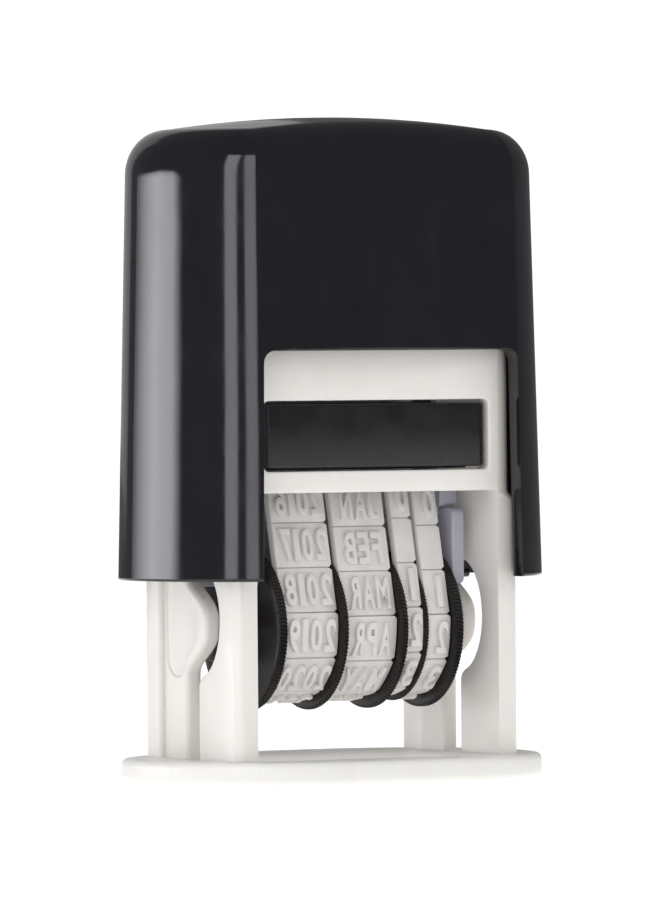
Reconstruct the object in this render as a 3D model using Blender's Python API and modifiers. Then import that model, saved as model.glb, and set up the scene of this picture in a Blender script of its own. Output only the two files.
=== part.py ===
"""Self-inking rotary date stamp.

A white frame stands on a racetrack foot.  A black cap slides down over the frame against a
coil spring and carries a carrier on two pivot pins.  Follower pins on the carrier run in a
bowed slot in each end wall of the frame, so the carrier turns over as the cap goes down and
takes the date type from the ink pad to the paper.  Four rubber date bands run from knurled
thumb wheels on one axle over an anvil at the carrier's printing end.

X runs along the line of print, Y from front to back, Z up from the paper.  Metres.
"""

import math

import bmesh
import bpy
from mathutils import Matrix, Vector

MM = 0.001
PART_NAME = "rotary_date_stamp"

# Motion
STROKE = 15.4 * MM
PIVOT_Z = 21.4 * MM
AXLE_Z = 13.43 * MM
FOLLOWER_ARM = 3.35 * MM
FOLLOWER_RADIUS = 0.75 * MM
SLOT_MID_Z = PIVOT_Z - STROKE / 2

# Foot
FOOT_END_RADIUS = 12.96 * MM
FOOT_END_X = 6.69 * MM
FOOT_HEIGHT = 2.0 * MM
FOOT_OPENING_X = 11.7 * MM
FOOT_OPENING_Y = 7.4 * MM
SOCKET_FLOOR_Z = 0.6 * MM
SOCKET_GAP = 0.1 * MM

# Frame
WALL_IN_X = 12.35 * MM
WALL_OUT_X = 14.75 * MM
UPPER_OUT_X = 14.2 * MM
FRAME_HALF_Y = 8.4 * MM
POST_CORNER = 1.5 * MM
UPPER_CORNER = 1.9 * MM
PLATE_THICK = 1.7 * MM
FRAME_BOTTOM_Z = 0.75 * MM
SHOULDER_Z = 24.6 * MM
SHOULDER_RISE = 0.9 * MM
CROSSBAR_Z = 25.57 * MM
WINDOW_LOW_Z = 27.47 * MM
WINDOW_TOP_Z = 33.7 * MM
WINDOW_HALF_X = 11.5 * MM
DECK_LOW_Z = 34.3 * MM
DECK_TOP_Z = 36.1 * MM
DECK_HALF_X = 11.2 * MM
FRAME_TOP_Z = 39.5 * MM
TOP_CHAMFER = (0.5 * MM, 1.6 * MM)
SPRING_POST_RADIUS = 3.3 * MM
SPRING_POST_TOP_Z = 38.6 * MM

# Bowed slot in each end wall: a straight slot with a hollow in front and a nose behind
SLOT_REAR_Y = 1.75 * MM
SLOT_FRONT_Y = -2.05 * MM
SLOT_LOW_Z = 1.6 * MM
SLOT_TOP_Z = 22.6 * MM
HOLLOW_DEPTH = 3.4 * MM
HOLLOW_HALF_Z = 4.95 * MM
NOSE_DEPTH = 3.3 * MM
NOSE_HALF_Z = 3.9 * MM
POCKET_DEPTH = 0.4 * MM
POCKET_Y = (2.6 * MM, 6.0 * MM)
POCKET_Z = (9.4 * MM, 24.0 * MM)

# Cap
CAP_END_RADIUS = 12.85 * MM
CAP_END_X = 7.0 * MM
CAP_PANEL_Y = 11.2 * MM
CAP_BOTTOM_Z = 17.9 * MM
CAP_SHOULDER_Z = 53.6 * MM
CAP_TOP_Z = 58.9 * MM
CAP_EDGE_ROUND = 3.6 * MM
CAP_TAPER = 0.0236
CAP_END_WALL = 1.3 * MM
CAP_PANEL_WALL = 1.7 * MM
CAP_ROOF = 1.6 * MM
CROWN_X_RADIUS = 108 * MM
CROWN_Y_RADIUS = 50 * MM
CUTOUT_TOP_Z = 38.1 * MM
CUTOUT_HALF_X = 13.2 * MM
CUTOUT_CORNER = 1.1 * MM

# Lift yoke inside the cap
YOKE_THICK = 0.6 * MM
LEG_IN_X = 11.5 * MM
LEG_Y = (1.7 * MM, 5.2 * MM)
YOKE_TOP_Z = 55.9 * MM
YOKE_HALF_Y = 5.2 * MM
LUG_RADIUS = 1.9 * MM
PIN_RADIUS = 1.5 * MM
PIN_X = (9.7 * MM, 12.2 * MM)

# Return spring
SPRING_RADIUS = 4.3 * MM
SPRING_WIRE_RADIUS = 0.3 * MM
SPRING_TURNS = 6
SPRING_Z = (36.45 * MM, 54.95 * MM)
SPRING_POINTS_PER_TURN = 14

# Ink cartridge
TRAY_HALF_X = 11.35 * MM
TRAY_Y = (-8.3 * MM, 6.3 * MM)
TRAY_Z = (27.75 * MM, 33.4 * MM)
TRAY_WALL = 1.1 * MM
TRAY_ROOF = 1.6 * MM
PAD_GAP = 0.3 * MM
PAD_BOTTOM_Z = 27.6 * MM

# Carrier
CHEEK_IN_X = 9.95 * MM
CHEEK_OUT_X = 11.2 * MM
CHEEK_HALF_Y = 4.5 * MM
CHEEK_TOP_Z = 24.0 * MM
CHEEK_LOW_Z = 17.2 * MM
BEARING_TOP_Z = 17.18 * MM
BEARING_LOW_Z = 10.55 * MM
BEARING_HALF_Y = (3.9 * MM, 2.9 * MM)
AXLE_RADIUS = 1.0 * MM
RUNNING_GAP = 0.06 * MM
ANVIL_HALF_Y = 2.45 * MM
ANVIL_Z = (23.15 * MM, 25.8 * MM)
ANVIL_HALF_X = 9.85 * MM
FLANGE_HALF_Y = 3.2 * MM
FLANGE_Z = (24.1 * MM, 26.2 * MM)

# Date wheels and bands, from left to right: (name, band x range, wheel's disc x range, disc radius)
DISC_RADIUS = 7.3 * MM
THIN_DISC_RADIUS = 6.7 * MM
DRUM_RADIUS = 5.2 * MM
END_DISC_X = (-9.36 * MM, -8.51 * MM)
DIALS = (
    ("year", (-8.45 * MM, -2.86 * MM), (-2.80 * MM, -2.27 * MM), DISC_RADIUS),
    ("month", (-2.21 * MM, 3.14 * MM), (3.20 * MM, 3.85 * MM), DISC_RADIUS),
    ("tens", (3.91 * MM, 5.89 * MM), (5.95 * MM, 6.30 * MM), THIN_DISC_RADIUS),
    ("units", (6.36 * MM, 8.69 * MM), (8.75 * MM, 9.54 * MM), DISC_RADIUS),
)
BAND_RADIUS = 6.2 * MM
BAND_THICK = 0.9 * MM
BAND_TOP_Z = 26.8 * MM
BAND_TOP_CORNER = 1.0 * MM
BAND_TOP_HALF_Y = 3.48 * MM
SPACER_RADIUS = 2.2 * MM
SPACERS = (("spacer_left", -9.89 * MM, -9.42 * MM), ("spacer_right", 9.60 * MM, 9.89 * MM))

ARC_STEPS = 6
ROUND_STEPS = 40
WELD = 1e-6


# ---------------------------------------------------------------- scene and materials

def clear_scene():
    for obj in list(bpy.data.objects):
        bpy.data.objects.remove(obj, do_unlink=True)


def new_collection(name):
    collection = bpy.data.collections.new(name)
    bpy.context.scene.collection.children.link(collection)
    return collection


def material(name, colour, roughness, metallic=0.0):
    mat = bpy.data.materials.new(name)
    mat.use_nodes = True
    shader = mat.node_tree.nodes["Principled BSDF"]
    shader.inputs["Base Color"].default_value = (*colour, 1.0)
    shader.inputs["Roughness"].default_value = roughness
    shader.inputs["Metallic"].default_value = metallic
    return mat


def add_object(name, mesh, collection):
    obj = bpy.data.objects.new(name, mesh)
    collection.objects.link(obj)
    return obj


def as_cutter(obj):
    obj.hide_render = True
    obj.display_type = "WIRE"
    return obj


def finish(obj, mat):
    obj.data.materials.clear()
    obj.data.materials.append(mat)
    if isinstance(obj.data, bpy.types.Mesh):
        obj.data.shade_smooth()
        obj.data.set_sharp_from_angle(angle=math.radians(35))
    return obj


def combine(target, other, operation):
    modifier = target.modifiers.new(other.name, "BOOLEAN")
    modifier.operation = operation
    modifier.object = other
    modifier.solver = "EXACT"
    return modifier


def hang_on(obj, empty):
    obj.parent = empty
    obj.matrix_parent_inverse = Matrix.Translation(-empty.location)


def joint_empty(name, location, collection):
    empty = bpy.data.objects.new(name, None)
    empty.location = location
    empty.empty_display_size = 5 * MM
    collection.objects.link(empty)
    return empty


# ---------------------------------------------------------------- shapes

def box(name, low, high, collection):
    low = Vector(low)
    high = Vector(high)
    mesh = bpy.data.meshes.new(name)
    bm = bmesh.new()
    scale = Matrix.Diagonal((*(high - low), 1.0))
    bmesh.ops.create_cube(bm, size=1.0, matrix=scale)
    bm.to_mesh(mesh)
    bm.free()
    obj = add_object(name, mesh, collection)
    obj.location = (low + high) / 2
    return obj


def rod_along_x(name, x_range, z, radius, collection, steps=24, y=0.0):
    mesh = bpy.data.meshes.new(name)
    bm = bmesh.new()
    length = x_range[1] - x_range[0]
    bmesh.ops.create_cone(bm, cap_ends=True, segments=steps, radius1=radius, radius2=radius, depth=length)
    bm.to_mesh(mesh)
    bm.free()
    obj = add_object(name, mesh, collection)
    obj.rotation_euler = (0, math.pi / 2, 0)
    obj.location = (sum(x_range) / 2, y, z)
    return obj


def arc(centre, radius, start_deg, end_deg, steps=ARC_STEPS):
    points = []
    for i in range(steps + 1):
        angle = math.radians(start_deg + (end_deg - start_deg) * i / steps)
        points.append((centre[0] + radius * math.cos(angle), centre[1] + radius * math.sin(angle)))
    return points


def rounded_rectangle(half_x, low_y, high_y, radius, steps=ARC_STEPS):
    centre_x = half_x - radius
    return (
        arc((centre_x, low_y + radius), radius, -90, 0, steps)
        + arc((centre_x, high_y - radius), radius, 0, 90, steps)
        + arc((-centre_x, high_y - radius), radius, 90, 180, steps)
        + arc((-centre_x, low_y + radius), radius, 180, 270, steps)
    )


PLANES = {
    "XY": (0.0, 0.0, 0.0),
    "XZ": (math.pi / 2, 0.0, 0.0),
    "YZ": (math.pi / 2, 0.0, math.pi / 2),
}


def plate(name, loops, plane, middle, thickness, collection):
    """A flat outline, with any holes, extruded to a solid and centred on middle."""
    curve = bpy.data.curves.new(name, "CURVE")
    curve.dimensions = "2D"
    curve.fill_mode = "BOTH"
    curve.extrude = thickness / 2
    for loop in loops:
        spline = curve.splines.new("POLY")
        spline.points.add(len(loop) - 1)
        for point, (u, v) in zip(spline.points, loop):
            point.co = (u, v, 0.0, 1.0)
        spline.use_cyclic_u = True
    guide = add_object(name + "_curve", curve, collection)
    bpy.context.view_layer.update()
    graph = bpy.context.evaluated_depsgraph_get()
    mesh = bpy.data.meshes.new_from_object(guide.evaluated_get(graph))
    bpy.data.objects.remove(guide, do_unlink=True)
    bm = bmesh.new()
    bm.from_mesh(mesh)
    bmesh.ops.remove_doubles(bm, verts=bm.verts, dist=WELD)
    bmesh.ops.recalc_face_normals(bm, faces=bm.faces)
    bm.to_mesh(mesh)
    bm.free()
    obj = add_object(name, mesh, collection)
    obj.rotation_euler = PLANES[plane]
    obj.location = middle
    return obj


def loft(name, rings, collection, tip=None):
    """A skin through rings of equal point count, closed below and closed above or brought to a tip."""
    mesh = bpy.data.meshes.new(name)
    bm = bmesh.new()
    loops = [[bm.verts.new(point) for point in ring] for ring in rings]
    count = len(rings[0])
    for lower, upper in zip(loops, loops[1:]):
        for i in range(count):
            j = (i + 1) % count
            bm.faces.new((lower[i], lower[j], upper[j], upper[i]))
    bm.faces.new(list(reversed(loops[0])))
    if tip is None:
        bm.faces.new(loops[-1])
    else:
        top = bm.verts.new(tip)
        for i in range(count):
            bm.faces.new((loops[-1][i], loops[-1][(i + 1) % count], top))
    bmesh.ops.recalc_face_normals(bm, faces=bm.faces)
    bm.to_mesh(mesh)
    bm.free()
    return add_object(name, mesh, collection)


def turned_on_x(name, profile, collection, steps=ROUND_STEPS):
    """A ring turned about the axle: profile is (radius, x), closed, outer side from high x to low x."""
    mesh = bpy.data.meshes.new(name)
    bm = bmesh.new()
    verts = [bm.verts.new((radius, 0.0, x)) for radius, x in profile]
    for i, vert in enumerate(verts):
        bm.edges.new((vert, verts[(i + 1) % len(verts)]))
    bm.to_mesh(mesh)
    bm.free()
    obj = add_object(name, mesh, collection)
    screw = obj.modifiers.new("turn", "SCREW")
    screw.axis = "Z"
    screw.angle = 2 * math.pi
    screw.steps = steps
    screw.render_steps = steps
    screw.use_merge_vertices = True
    screw.merge_threshold = WELD
    obj.rotation_euler = (0, math.pi / 2, 0)
    obj.location = (0, 0, AXLE_Z)
    return obj


# ---------------------------------------------------------------- foot and frame

def racetrack(end_x, radius, steps=14):
    return arc((end_x, 0), radius, -90, 90, steps) + arc((-end_x, 0), radius, 90, 270, steps)


def build_foot(parts, cutters, mat):
    outline = racetrack(FOOT_END_X, FOOT_END_RADIUS)
    opening = rounded_rectangle(FOOT_OPENING_X, -FOOT_OPENING_Y, FOOT_OPENING_Y, 1.0 * MM, 3)
    foot = plate("base_foot", [outline, opening], "XY", (0, 0, FOOT_HEIGHT / 2), FOOT_HEIGHT, parts)
    for side, name in ((-1, "left"), (1, "right")):
        xs = sorted((side * (WALL_IN_X - SOCKET_GAP), side * (WALL_OUT_X + SOCKET_GAP)))
        half_y = FRAME_HALF_Y + SOCKET_GAP
        socket = box(f"foot_socket_{name}", (xs[0], -half_y, SOCKET_FLOOR_Z), (xs[1], half_y, 3 * MM), cutters)
        combine(foot, as_cutter(socket), "DIFFERENCE")
    return finish(foot, mat)


def slot_outline():
    """Closed outline of the bowed slot in Y and Z: up the rear edge with its nose, down the front."""
    points = [(SLOT_REAR_Y, SLOT_LOW_Z)]
    for i in range(ARC_STEPS * 2 + 1):
        along = -1 + i / ARC_STEPS
        y = SLOT_REAR_Y - NOSE_DEPTH * math.cos(along * math.pi / 2)
        points.append((y, SLOT_MID_Z + along * NOSE_HALF_Z))
    points += [(SLOT_REAR_Y, SLOT_TOP_Z), (SLOT_FRONT_Y, SLOT_TOP_Z)]
    for i in range(ARC_STEPS * 2 + 1):
        angle = math.pi * i / (ARC_STEPS * 2)
        y = SLOT_FRONT_Y - HOLLOW_DEPTH * math.sin(angle)
        points.append((y, SLOT_MID_Z + HOLLOW_HALF_Z * math.cos(angle)))
    points.append((SLOT_FRONT_Y, SLOT_LOW_Z))
    return points


def frame_envelope(cutters):
    """The frame's outer form in plan, wide at the posts and narrower above the shoulder."""
    lower = rounded_rectangle(WALL_OUT_X, -FRAME_HALF_Y, FRAME_HALF_Y, POST_CORNER, 4)
    upper = rounded_rectangle(UPPER_OUT_X, -FRAME_HALF_Y, FRAME_HALF_Y, UPPER_CORNER, 4)
    inset, drop = TOP_CHAMFER
    top_y = FRAME_HALF_Y - inset
    top = rounded_rectangle(UPPER_OUT_X - inset, -top_y, top_y, UPPER_CORNER - inset, 4)
    levels = (
        (lower, FRAME_BOTTOM_Z),
        (lower, SHOULDER_Z),
        (upper, SHOULDER_Z + SHOULDER_RISE),
        (upper, FRAME_TOP_Z - drop),
        (top, FRAME_TOP_Z),
    )
    rings = [[(x, y, z) for x, y in outline] for outline, z in levels]
    return as_cutter(loft("frame_envelope", rings, cutters))


def build_frame(parts, cutters, mat):
    past = 1 * MM
    wall_mid = (WALL_IN_X + WALL_OUT_X + past) / 2
    wall_thick = WALL_OUT_X + past - WALL_IN_X
    wall = [(-FRAME_HALF_Y - past, 0.0), (FRAME_HALF_Y + past, 0.0)]
    wall += [(FRAME_HALF_Y + past, FRAME_TOP_Z + past), (-FRAME_HALF_Y - past, FRAME_TOP_Z + past)]
    frame = plate("frame", [wall, slot_outline()], "YZ", (-wall_mid, 0, 0), wall_thick, parts)
    right = plate("frame_wall_right", [wall, slot_outline()], "YZ", (wall_mid, 0, 0), wall_thick, cutters)
    combine(frame, as_cutter(right), "UNION")
    reach = WALL_OUT_X
    window = rounded_rectangle(WINDOW_HALF_X, WINDOW_LOW_Z, WINDOW_TOP_Z, 0.4 * MM, 2)
    panel = [(-reach, CROSSBAR_Z), (reach, CROSSBAR_Z), (reach, FRAME_TOP_Z), (-reach, FRAME_TOP_Z)]
    plate_y = FRAME_HALF_Y - PLATE_THICK / 2 + past / 2
    front = plate("frame_front", [panel, window], "XZ", (0, -plate_y, 0), PLATE_THICK + past, cutters)
    back = plate("frame_back", [panel], "XZ", (0, plate_y, 0), PLATE_THICK + past, cutters)
    deck_y = FRAME_HALF_Y - PLATE_THICK / 2
    deck = box("frame_deck", (-DECK_HALF_X, -deck_y, DECK_LOW_Z), (DECK_HALF_X, deck_y, DECK_TOP_Z), cutters)
    for form in (front, back, deck, spring_post(cutters)):
        combine(frame, as_cutter(form), "UNION")
    combine(frame, frame_envelope(cutters), "INTERSECT")
    for side, name in ((-1, "left"), (1, "right")):
        combine(frame, pocket(side, name, cutters), "DIFFERENCE")
    return finish(frame, mat)


def spring_post(cutters):
    height = SPRING_POST_TOP_Z - DECK_LOW_Z - 0.5 * MM
    mesh = bpy.data.meshes.new("spring_post")
    bm = bmesh.new()
    bmesh.ops.create_cone(
        bm, cap_ends=True, segments=24, radius1=SPRING_POST_RADIUS, radius2=SPRING_POST_RADIUS, depth=height
    )
    bm.to_mesh(mesh)
    bm.free()
    post = add_object("spring_post", mesh, cutters)
    post.location = (0, 0, SPRING_POST_TOP_Z - height / 2)
    return post


def pocket(side, name, cutters):
    """Shallow pocket on the outside of the end wall behind the slot."""
    half = (POCKET_Y[1] - POCKET_Y[0]) / 2
    middle = (POCKET_Y[0] + POCKET_Y[1]) / 2
    outline = arc((middle, POCKET_Z[0] + half), half, 180, 360)
    outline += [(POCKET_Y[1], POCKET_Z[1]), (POCKET_Y[0], POCKET_Z[1])]
    depth = 4 * MM
    x = side * (WALL_OUT_X - POCKET_DEPTH + depth / 2)
    return as_cutter(plate(f"wall_pocket_{name}", [outline], "YZ", (x, 0, 0), depth, cutters))


# ---------------------------------------------------------------- cap

def cap_section(radius, end_x, panel_y, steps=10):
    """Racetrack cut flat at the front and back panels."""
    edge = math.degrees(math.asin(min(1.0, panel_y / radius)))
    return arc((end_x, 0), radius, -edge, edge, steps) + arc((-end_x, 0), radius, 180 - edge, 180 + edge, steps)


def cap_solid(name, bottom_z, end_wall, panel_wall, roof, collection):
    """The cap's outer form, or its inner one when the walls are more than zero."""
    edge_round = CAP_EDGE_ROUND - max(end_wall, 0.0)
    rings = []
    shrink = CAP_TAPER * (CAP_SHOULDER_Z - CAP_BOTTOM_Z)

    def section(inset):
        return cap_section(CAP_END_RADIUS - end_wall - inset, CAP_END_X, CAP_PANEL_Y - panel_wall - inset)

    def crown(x, y):
        return CAP_TOP_Z - roof - x * x / (2 * CROWN_X_RADIUS) - y * y / (2 * CROWN_Y_RADIUS)

    low_inset = CAP_TAPER * (bottom_z - CAP_BOTTOM_Z)
    rings.append([(x, y, bottom_z) for x, y in section(low_inset)])
    for i in range(ARC_STEPS):
        angle = math.pi / 2 * i / (ARC_STEPS - 1)
        blend = i / (ARC_STEPS - 1)
        flat_z = CAP_SHOULDER_Z + edge_round * math.sin(angle)
        rim_z = CAP_SHOULDER_Z + edge_round
        outline = section(shrink + edge_round * (1 - math.cos(angle)))
        rings.append([(x, y, flat_z + blend ** 2 * (crown(x, y) - rim_z)) for x, y in outline])
    rim = section(shrink + edge_round)
    for size in (0.8, 0.6, 0.4, 0.2):
        rings.append([(x * size, y * size, crown(x * size, y * size)) for x, y in rim])
    return loft(name, rings, collection, tip=(0, 0, crown(0, 0)))


def cap_cutout(cutters):
    """The front opening over the ink window and the date bands, narrowing upward with the cap."""
    below = CAP_BOTTOM_Z - 1 * MM
    top_half = CUTOUT_HALF_X - CAP_TAPER * (CUTOUT_TOP_Z - CAP_BOTTOM_Z)
    outline = [(-CUTOUT_HALF_X, below), (CUTOUT_HALF_X, below)]
    corner_z = CUTOUT_TOP_Z - CUTOUT_CORNER
    outline += arc((top_half - CUTOUT_CORNER, corner_z), CUTOUT_CORNER, 0, 90, 4)
    outline += arc((-top_half + CUTOUT_CORNER, corner_z), CUTOUT_CORNER, 90, 180, 4)
    front_y = -15 * MM
    inner_y = -8.6 * MM
    middle = (0, (front_y + inner_y) / 2, 0)
    return as_cutter(plate("cap_cutout", [outline], "XZ", middle, inner_y - front_y, cutters))


def build_cap(parts, cutters, mat):
    cap = cap_solid("cover_shell", CAP_BOTTOM_Z, 0.0, 0.0, 0.0, parts)
    inside_z = CAP_BOTTOM_Z - 1 * MM
    inside = cap_solid("cap_inside", inside_z, CAP_END_WALL, CAP_PANEL_WALL, CAP_ROOF, cutters)
    combine(cap, as_cutter(inside), "DIFFERENCE")
    combine(cap, cap_cutout(cutters), "DIFFERENCE")
    return finish(cap, mat)


# ---------------------------------------------------------------- yoke, pins and spring

def yoke_leg(side, name, collection):
    """A flat strip that comes down behind the follower's path and reaches forward to the pivot."""
    back_corner = 1.0 * MM
    low_z = PIVOT_Z - LUG_RADIUS
    outline = [(LEG_Y[1], YOKE_TOP_Z)]
    outline += arc((LEG_Y[1] - back_corner, low_z + back_corner), back_corner, 0, -90, 3)
    outline += arc((0, PIVOT_Z), LUG_RADIUS, 270, 90, 10)
    outline += [(LEG_Y[0], PIVOT_Z + LUG_RADIUS), (LEG_Y[0], YOKE_TOP_Z)]
    hole = arc((0, PIVOT_Z), PIN_RADIUS + RUNNING_GAP, 0, 345, 23)
    x = side * (LEG_IN_X + YOKE_THICK / 2)
    return plate(name, [outline, hole], "YZ", (x, 0, 0), YOKE_THICK, collection)


def build_yoke(parts, cutters, mat):
    yoke = yoke_leg(-1, "lift_yoke", parts)
    right = yoke_leg(1, "yoke_leg_right", cutters)
    reach = LEG_IN_X + YOKE_THICK
    low = (-reach, -YOKE_HALF_Y, YOKE_TOP_Z - YOKE_THICK)
    top = box("yoke_top", low, (reach, YOKE_HALF_Y, YOKE_TOP_Z + 0.02 * MM), cutters)
    combine(yoke, as_cutter(right), "UNION")
    combine(yoke, as_cutter(top), "UNION")
    return finish(yoke, mat)


def build_pivot_pins(parts, mat):
    pins = []
    for side, name in ((-1, "pivot_pin_left"), (1, "pivot_pin_right")):
        xs = sorted((side * PIN_X[0], side * PIN_X[1]))
        pins.append(finish(rod_along_x(name, xs, PIVOT_Z, PIN_RADIUS, parts), mat))
    return pins


def build_spring(parts, mat):
    curve = bpy.data.curves.new("return_spring", "CURVE")
    curve.dimensions = "3D"
    curve.bevel_depth = SPRING_WIRE_RADIUS
    curve.bevel_resolution = 2
    curve.use_fill_caps = True
    count = SPRING_TURNS * SPRING_POINTS_PER_TURN + 1
    spline = curve.splines.new("POLY")
    spline.points.add(count - 1)
    for i, point in enumerate(spline.points):
        turn = i / SPRING_POINTS_PER_TURN
        angle = 2 * math.pi * turn
        z = SPRING_Z[0] + (SPRING_Z[1] - SPRING_Z[0]) * coil_rise(turn / SPRING_TURNS)
        point.co = (SPRING_RADIUS * math.cos(angle), SPRING_RADIUS * math.sin(angle), z, 1.0)
    return finish(add_object("return_spring", curve, parts), mat)


def coil_rise(share):
    """Height share along the coil: nearly closed at both ends, open between."""
    closed = 1.0 / SPRING_TURNS
    closed_rise = 0.05
    if share < closed:
        return closed_rise * share / closed
    if share > 1 - closed:
        return 1 - closed_rise * (1 - share) / closed
    return closed_rise + (1 - 2 * closed_rise) * (share - closed) / (1 - 2 * closed)


# ---------------------------------------------------------------- ink cartridge

def build_ink_tray(parts, cutters, mat):
    tray = box("ink_tray", (-TRAY_HALF_X, TRAY_Y[0], TRAY_Z[0]), (TRAY_HALF_X, TRAY_Y[1], TRAY_Z[1]), parts)
    low = (-TRAY_HALF_X + TRAY_WALL, TRAY_Y[0] + TRAY_WALL, TRAY_Z[0] - 1 * MM)
    high = (TRAY_HALF_X - TRAY_WALL, TRAY_Y[1] - TRAY_WALL, TRAY_Z[1] - TRAY_ROOF)
    combine(tray, as_cutter(box("tray_hollow", low, high, cutters)), "DIFFERENCE")
    return finish(tray, mat)


def build_ink_pad(parts, mat):
    inset = TRAY_WALL + PAD_GAP
    low = (-TRAY_HALF_X + inset, TRAY_Y[0] + inset, PAD_BOTTOM_Z)
    high = (TRAY_HALF_X - inset, TRAY_Y[1] - inset, TRAY_Z[1] - TRAY_ROOF - PAD_GAP)
    return finish(box("ink_pad", low, high, parts), mat)


# ---------------------------------------------------------------- carrier

def build_cheek(side, name, parts, cutters, mat):
    """Grey upper plate with the pivot hole and the follower pin."""
    outline = rounded_rectangle(CHEEK_HALF_Y, CHEEK_LOW_Z, CHEEK_TOP_Z, 0.6 * MM, 3)
    pivot_hole = arc((0, PIVOT_Z), PIN_RADIUS + RUNNING_GAP, 0, 345, 23)
    x = side * (CHEEK_IN_X + CHEEK_OUT_X) / 2
    thick = CHEEK_OUT_X - CHEEK_IN_X
    cheek = plate(name, [outline, pivot_hole], "YZ", (x, 0, 0), thick, parts)
    xs = sorted((side * (CHEEK_OUT_X - 0.5 * MM), side * (WALL_OUT_X - 0.5 * MM)))
    follower = rod_along_x(name + "_follower", xs, PIVOT_Z - FOLLOWER_ARM, FOLLOWER_RADIUS, cutters, 16)
    combine(cheek, as_cutter(follower), "UNION")
    return finish(cheek, mat)


def build_bearing(side, name, parts, mat):
    """Black lower plate that carries the wheel axle and ends in a flat foot."""
    corner = 0.6 * MM
    shoulder, foot = BEARING_HALF_Y
    low = BEARING_LOW_Z + corner
    neck_z = BEARING_TOP_Z - (shoulder - foot)
    outline = [(shoulder, BEARING_TOP_Z), (-shoulder, BEARING_TOP_Z), (-foot, neck_z)]
    outline += arc((-foot + corner, low), corner, 180, 270, 4)
    outline += arc((foot - corner, low), corner, 270, 360, 4)
    outline += [(foot, neck_z)]
    axle_hole = arc((0, AXLE_Z), AXLE_RADIUS + RUNNING_GAP, 0, 345, 23)
    x = side * (CHEEK_IN_X + CHEEK_OUT_X) / 2
    return finish(plate(name, [outline, axle_hole], "YZ", (x, 0, 0), CHEEK_OUT_X - CHEEK_IN_X, parts), mat)


def build_anvil(parts, cutters, mat):
    anvil = box("anvil", (-ANVIL_HALF_X, -ANVIL_HALF_Y, ANVIL_Z[0]), (ANVIL_HALF_X, ANVIL_HALF_Y, ANVIL_Z[1]), parts)
    for side, name in ((-1, "left"), (1, "right")):
        xs = sorted((side * (ANVIL_HALF_X - 0.4 * MM), side * CHEEK_OUT_X))
        low = (xs[0], -FLANGE_HALF_Y, FLANGE_Z[0])
        flange = box(f"anvil_flange_{name}", low, (xs[1], FLANGE_HALF_Y, FLANGE_Z[1]), cutters)
        combine(anvil, as_cutter(flange), "UNION")
    return finish(anvil, mat)


def build_axle(parts, mat):
    return finish(rod_along_x("wheel_axle", (-CHEEK_OUT_X, CHEEK_OUT_X), AXLE_Z, AXLE_RADIUS, parts), mat)


def ring_profile(low_x, high_x, radius):
    bore = AXLE_RADIUS + RUNNING_GAP
    return [(radius, high_x), (radius, low_x), (bore, low_x), (bore, high_x)]


def wheel_profile(band_x, disc_x, disc_radius):
    """Drum under the band with its thumb disc on the right."""
    bore = AXLE_RADIUS + RUNNING_GAP
    chamfer = 0.15 * MM
    return [
        (disc_radius - chamfer, disc_x[1]),
        (disc_radius, disc_x[1] - chamfer),
        (disc_radius, disc_x[0] + chamfer),
        (disc_radius - chamfer, disc_x[0]),
        (DRUM_RADIUS, disc_x[0]),
        (DRUM_RADIUS, band_x[0]),
        (bore, band_x[0]),
        (bore, disc_x[1]),
    ]


def build_wheels(parts, mat):
    wheels = [turned_on_x("year_end_disc", ring_profile(*END_DISC_X, DISC_RADIUS), parts)]
    for name, band_x, disc_x, radius in DIALS:
        wheels.append(turned_on_x(f"{name}_wheel", wheel_profile(band_x, disc_x, radius), parts))
    return [finish(wheel, mat) for wheel in wheels]


def build_spacers(parts, mat):
    spacers = []
    for name, low_x, high_x in SPACERS:
        spacer = turned_on_x(name, ring_profile(low_x, high_x, SPACER_RADIUS), parts, 24)
        spacers.append(finish(spacer, mat))
    return spacers


def belt_outline(inset):
    """The band's path in Y and Z: round the wheel and over the anvil's two corners."""
    wheel = (0.0, AXLE_Z)
    corner = (BAND_TOP_HALF_Y - BAND_TOP_CORNER, BAND_TOP_Z - BAND_TOP_CORNER)
    span = math.hypot(corner[0], corner[1] - AXLE_Z)
    bearing = math.atan2(corner[1] - AXLE_Z, corner[0])
    lean = math.degrees(bearing - math.acos((BAND_RADIUS - BAND_TOP_CORNER) / span))
    top_radius = BAND_TOP_CORNER - inset
    points = arc(wheel, BAND_RADIUS - inset, 180 - lean, 360 + lean, 24)
    points += arc(corner, top_radius, lean, 90, 3)
    points += arc((-corner[0], corner[1]), top_radius, 90, 180 - lean, 3)
    return points


def build_bands(parts, mat):
    bands = []
    for name, band_x, _disc_x, _radius in DIALS:
        loops = [belt_outline(0.0), belt_outline(BAND_THICK)]
        middle = ((band_x[0] + band_x[1]) / 2, 0, 0)
        band = plate(f"{name}_band", loops, "YZ", middle, band_x[1] - band_x[0], parts)
        bands.append(finish(band, mat))
    return bands


# ---------------------------------------------------------------- assembly

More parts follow.
